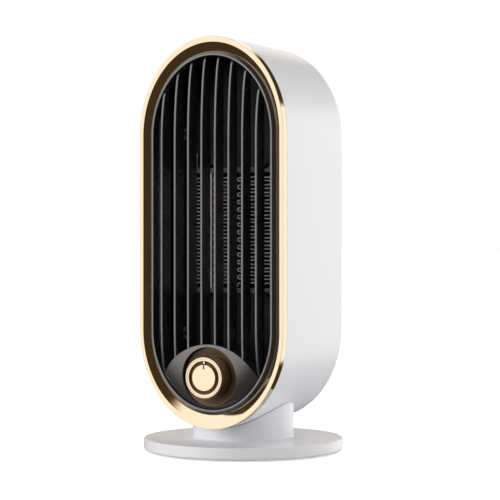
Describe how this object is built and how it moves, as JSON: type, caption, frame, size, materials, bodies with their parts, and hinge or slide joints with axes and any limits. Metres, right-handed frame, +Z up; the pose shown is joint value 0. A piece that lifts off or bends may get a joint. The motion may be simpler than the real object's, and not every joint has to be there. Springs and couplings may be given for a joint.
{
  "type": "ceramic space heater",
  "caption": "Small upright fan heater with a pill-shaped housing, a slatted front grille over a finned heating element, a rotary knob, and a round pedestal.",
  "frame": {"origin": "on the floor, under the middle of the round pedestal", "axes": "+Z up, the grille faces -Y, +X to the viewer's right when facing the grille"},
  "size_m": [0.122, 0.122, 0.25],
  "materials": {
    "white_plastic": "smooth moulded white ABS, soft gloss",
    "gold_plating": "warm gold plating on plastic, mirror-like",
    "black_plastic": "black moulded plastic, satin gloss",
    "duct_plastic": "dark grey heat-resistant moulding",
    "cap_plastic": "pale grey heat-resistant moulding",
    "aluminium": "bare extruded aluminium",
    "fin_aluminium": "thin folded aluminium sheet",
    "ceramic": "dark fired PTC ceramic",
    "steel": "plated steel",
    "screw_steel": "zinc-plated screws",
    "magnet": "ferrite magnet",
    "bronze": "sintered bronze",
    "copper_winding": "lacquered copper winding on a steel core",
    "circuit_board": "green glass-epoxy board",
    "rubber": "soft dark rubber"
  },
  "bodies": {
    "housing": {"air_duct": "duct_plastic", "base_cover": "white_plastic", "cord_gland": "rubber", "front_bezel": "gold_plating", "front_grille": "black_plastic", "front_shell": "white_plastic", "heater_cap_bottom": "cap_plastic", "heater_cap_top": "cap_plastic", "heater_fin_1": "fin_aluminium", "heater_fin_2": "fin_aluminium", "heater_fin_3": "fin_aluminium", "heater_fin_4": "fin_aluminium", "heater_rail_1": "aluminium", "heater_rail_2": "aluminium", "heater_terminal_1": "steel", "heater_terminal_2": "steel", "heater_tube_1": "aluminium", "heater_tube_2": "aluminium", "heater_tube_3": "aluminium", "housing_screw_1": "screw_steel", "housing_screw_2": "screw_steel", "housing_screw_3": "screw_steel", "housing_screw_4": "screw_steel", "knob_dish": "gold_plating", "motor_bushing_front": "bronze", "motor_bushing_rear": "bronze", "motor_can": "steel", "motor_end_cap": "black_plastic", "motor_magnets": "magnet", "motor_mount": "duct_plastic", "motor_screw_1": "screw_steel", "motor_screw_2": "screw_steel", "mount_screw_1": "screw_steel", "mount_screw_2": "screw_steel", "mount_screw_3": "screw_steel", "pedestal": "white_plastic", "pedestal_screw_1": "screw_steel", "pedestal_screw_2": "screw_steel", "power_board": "circuit_board", "ptc_stones_1": "ceramic", "ptc_stones_2": "ceramic", "ptc_stones_3": "ceramic", "rear_shell": "white_plastic", "rotary_switch": "black_plastic", "rubber_foot_1": "rubber", "rubber_foot_2": "rubber", "rubber_foot_3": "rubber", "rubber_foot_4": "rubber", "switch_screw_1": "screw_steel", "switch_screw_2": "screw_steel", "terminal_block": "cap_plastic", "thermal_cutout": "black_plastic", "thermal_fuse": "steel", "tilt_switch": "cap_plastic"},
    "knob": {"control_knob": "gold_plating", "switch_shaft": "steel"},
    "fan": {"impeller": "black_plastic", "motor_shaft": "steel", "motor_armature": "copper_winding"}
  },
  "joints": [
    {"name": "knob_turn", "type": "hinge", "parent": "housing", "child": "knob", "pos_m": [0, -0.045, 0.048], "axis": [0, 1, 0], "range_deg": [0, 270]},
    {"name": "fan_spin", "type": "hinge", "parent": "housing", "child": "fan", "pos_m": [0, 0.008, 0.1352], "axis": [0, 1, 0], "continuous": true}
  ]
}
